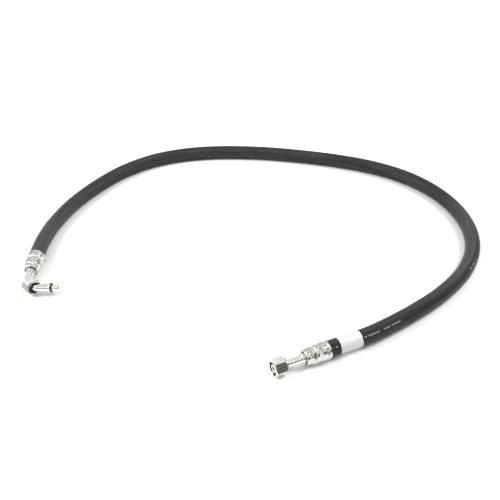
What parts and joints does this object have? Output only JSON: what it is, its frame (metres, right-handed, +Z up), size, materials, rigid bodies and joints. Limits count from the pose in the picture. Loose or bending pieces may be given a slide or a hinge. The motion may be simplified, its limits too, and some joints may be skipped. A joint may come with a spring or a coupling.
{
  "type": "hydraulic hose assembly",
  "caption": "Flexible braided rubber hose with a crimped 90-degree elbow connector at one end and a straight one at the other, each sealed by an O-ring and clamped by a captive hex nut.",
  "frame": {"origin": "on the floor, under the middle of the bounding box of the two rigid connectors (hose, its layers and label left out)", "axes": "+X along the elbow's leg, the way its tip points; +Y from the elbow's corner back along its ferrule, to the hose; +Z up from the floor that the assembly lies on"},
  "size_m": [0.6082, 0.4923, 0.0226],
  "materials": {
    "cover_rubber": "matte, fine cloth-wrap impression",
    "inner_rubber": "smooth",
    "braid_steel": "brass-coated wire braid",
    "zinc_plate": "bright zinc plated steel",
    "seal_rubber": "green HNBR, slight sheen",
    "label_film": "blank white vinyl wrap"
  },
  "bodies": {
    "hose_assembly": {"hose_cover": "cover_rubber", "hose_outer_braid": "braid_steel", "hose_insulation_layer": "inner_rubber", "hose_inner_braid": "braid_steel", "hose_inner_tube": "inner_rubber", "label_sleeve": "label_film", "elbow_ferrule": "zinc_plate", "elbow_stem": "zinc_plate", "elbow_tube": "zinc_plate", "elbow_o_ring": "seal_rubber", "straight_ferrule": "zinc_plate", "straight_stem": "zinc_plate", "straight_tube": "zinc_plate", "straight_o_ring": "seal_rubber"},
    "elbow_nut": {"elbow_nut": "zinc_plate"},
    "straight_nut": {"straight_nut": "zinc_plate"}
  },
  "joints": [
    {"name": "elbow_nut_spin", "type": "hinge", "parent": "hose_assembly", "child": "elbow_nut", "pos_m": [-0.17507, 0.04641, 0.0113], "axis": [0.6947, -0.7193, 0], "continuous": true},
    {"name": "straight_nut_spin", "type": "hinge", "parent": "hose_assembly", "child": "straight_nut", "pos_m": [0.13293, -0.09168, 0.0113], "axis": [-0.9063, -0.4226, 0], "continuous": true}
  ]
}
